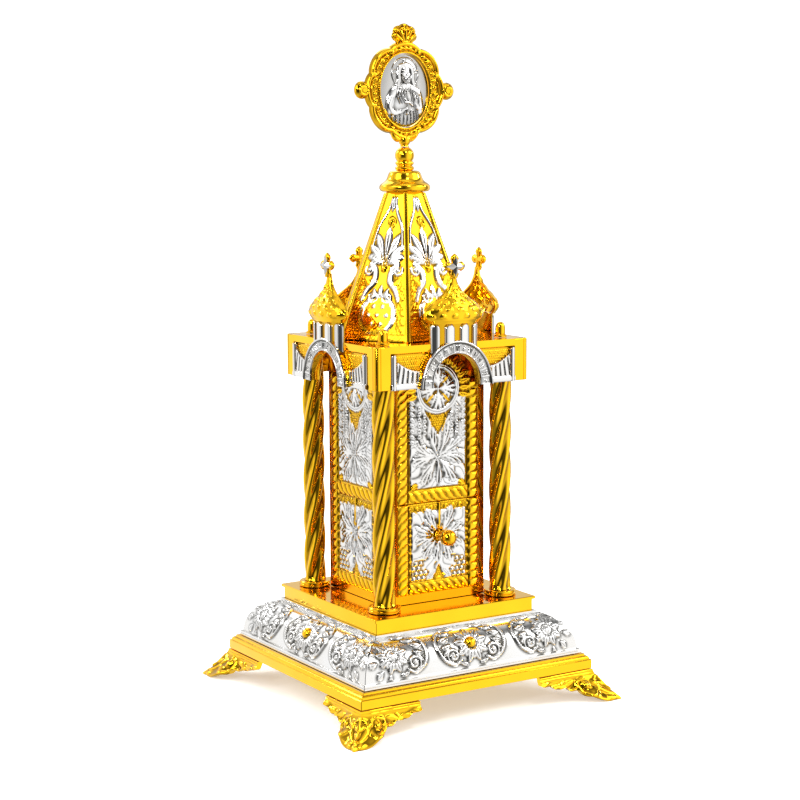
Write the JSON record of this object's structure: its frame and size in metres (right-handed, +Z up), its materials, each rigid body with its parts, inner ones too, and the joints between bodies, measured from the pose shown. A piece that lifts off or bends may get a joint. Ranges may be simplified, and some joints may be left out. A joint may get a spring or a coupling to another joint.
{
  "type": "altar tabernacle",
  "caption": "Gilt and silvered altar tabernacle: footed stepped base, twisted columns round a cella with a drawer, arched facades with onion domes, hexagonal spire and oval medallion finial.",
  "frame": {"origin": "on the ground under the middle of the four feet", "axes": "+Z up; -Y is the front, with the drawer; +X is the right-hand side seen from the front"},
  "size_m": [0.1754, 0.1754, 0.3729],
  "materials": {
    "gilt_brass": "polished gilt",
    "silvered_brass": "silver plate over brass, polished with an oxidised ground",
    "gilt_and_silvered_brass": "polished gilt with silver-plated relief"
  },
  "bodies": {
    "tabernacle": {"base_plate": "gilt_brass", "canopy_plate": "gilt_brass", "cella": "gilt_brass", "column_back_left": "gilt_brass", "column_back_right": "gilt_brass", "column_disc_back_left": "gilt_brass", "column_disc_back_right": "gilt_brass", "column_disc_front_left": "gilt_brass", "column_disc_front_right": "gilt_brass", "column_front_left": "gilt_brass", "column_front_right": "gilt_brass", "column_nut_back_left": "gilt_brass", "column_nut_back_right": "gilt_brass", "column_nut_front_left": "gilt_brass", "column_nut_front_right": "gilt_brass", "facade_back": "gilt_and_silvered_brass", "facade_front": "gilt_and_silvered_brass", "facade_left": "gilt_and_silvered_brass", "facade_right": "gilt_and_silvered_brass", "finial_stem": "gilt_brass", "foot_back_left": "gilt_brass", "foot_back_right": "gilt_brass", "foot_front_left": "gilt_brass", "foot_front_right": "gilt_brass", "frieze_back": "silvered_brass", "frieze_front": "silvered_brass", "frieze_left": "silvered_brass", "frieze_right": "silvered_brass", "frieze_stud_back": "gilt_brass", "frieze_stud_front": "gilt_brass", "frieze_stud_left": "gilt_brass", "frieze_stud_right": "gilt_brass", "medallion_frame": "gilt_brass", "medallion_relief": "silvered_brass", "panel_back": "gilt_and_silvered_brass", "panel_front": "gilt_and_silvered_brass", "panel_left": "gilt_and_silvered_brass", "panel_right": "gilt_and_silvered_brass", "spire": "gilt_and_silvered_brass", "spire_cap": "gilt_brass", "upper_plinth": "gilt_brass"},
    "drawer": {"drawer_box": "gilt_brass", "drawer_front": "gilt_and_silvered_brass", "drawer_knob": "gilt_brass"}
  },
  "joints": [
    {"name": "drawer_slide", "type": "slide", "parent": "tabernacle", "child": "drawer", "axis": [0, -1, 0], "range_m": [0, 0.045]}
  ]
}
